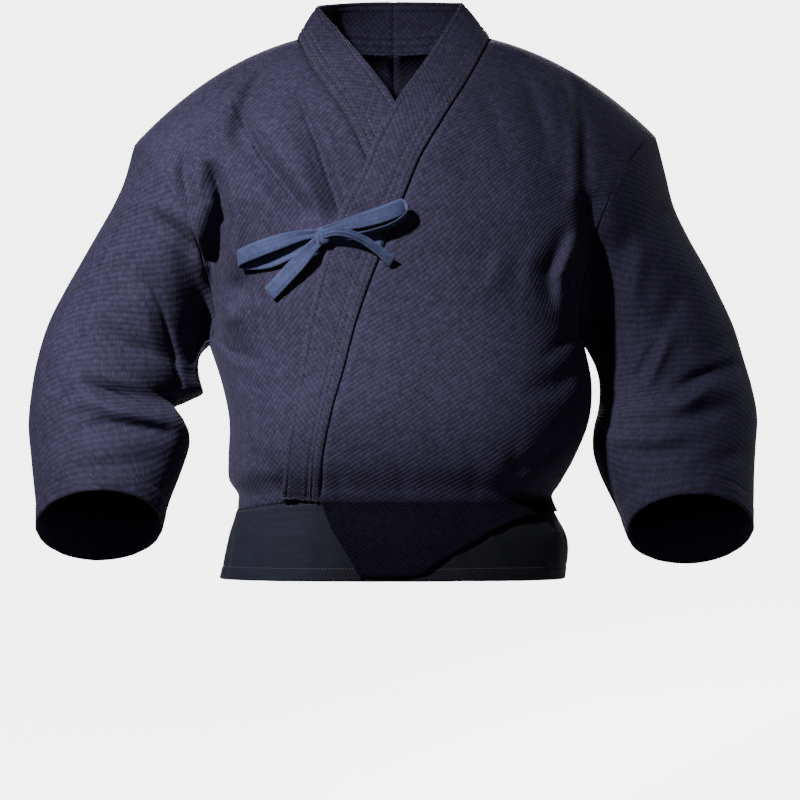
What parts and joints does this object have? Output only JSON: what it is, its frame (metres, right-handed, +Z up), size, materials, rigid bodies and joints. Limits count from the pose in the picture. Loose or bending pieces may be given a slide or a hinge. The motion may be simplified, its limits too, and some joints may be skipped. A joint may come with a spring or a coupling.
{
  "type": "kendo jacket",
  "caption": "Worn kendo jacket in rice-grain cotton, closed left over right with a chest bow, with bent three-quarter sleeves and a plain lower panel.",
  "frame": {"origin": "middle of the base of the neck, at the height where the collar meets the shoulders, where the jacket hangs on its wearer", "axes": "+Z up, the jacket's front faces -Y, +X towards the wearer's left sleeve"},
  "size_m": [0.7647, 0.2887, 0.6084],
  "materials": {
    "sashiko": "matte rice-grain cotton, navy",
    "plain_cotton": "smooth plain cotton, blue-black",
    "tie_tape": "smooth flat cotton tape, mid blue"
  },
  "bodies": {
    "root": {"body_right": "sashiko", "body_left": "sashiko", "sleeve_right": "sashiko", "sleeve_left": "sashiko", "collar_right": "sashiko", "collar_left": "sashiko", "skirt_front_right": "plain_cotton", "skirt_front_left": "plain_cotton", "skirt_back": "plain_cotton", "bow_knot": "tie_tape", "tie_end": "tie_tape", "bow_loop_right": "tie_tape", "bow_loop_left": "tie_tape", "bow_tail_right": "tie_tape", "bow_tail_left": "tie_tape"}
  },
  "joints": []
}
